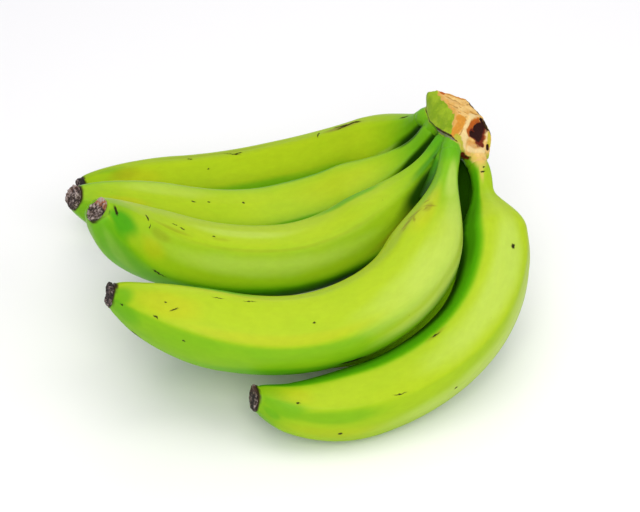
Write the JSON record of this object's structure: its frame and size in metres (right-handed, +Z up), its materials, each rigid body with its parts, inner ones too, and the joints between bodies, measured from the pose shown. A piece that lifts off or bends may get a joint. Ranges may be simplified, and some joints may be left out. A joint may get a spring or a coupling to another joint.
{
  "type": "plantain",
  "caption": "Hand of green, slightly angular cooking bananas joined by their stalks at a cut crown, with dried flower remnants at the tips.",
  "frame": {"origin": "on the table, under the middle of the whole hand as it lies", "axes": "+X towards the crown, -X towards the flower ends, -Y towards the viewer's side where the nearest finger lies, +Z up"},
  "size_m": [0.2365, 0.2128, 0.0997],
  "materials": {
    "rind": "satin, waxy green skin",
    "crown_cut": "dry, fibrous cut",
    "dried_flower": "dry, frayed"
  },
  "bodies": {
    "root": {"crown": "crown_cut", "finger_1": "rind", "finger_2": "rind", "finger_3": "rind", "finger_4": "rind", "finger_5": "rind", "finger_6": "rind", "blossom_end_1": "dried_flower", "blossom_end_2": "dried_flower", "blossom_end_3": "dried_flower", "blossom_end_4": "dried_flower", "blossom_end_5": "dried_flower", "blossom_end_6": "dried_flower"}
  },
  "joints": []
}
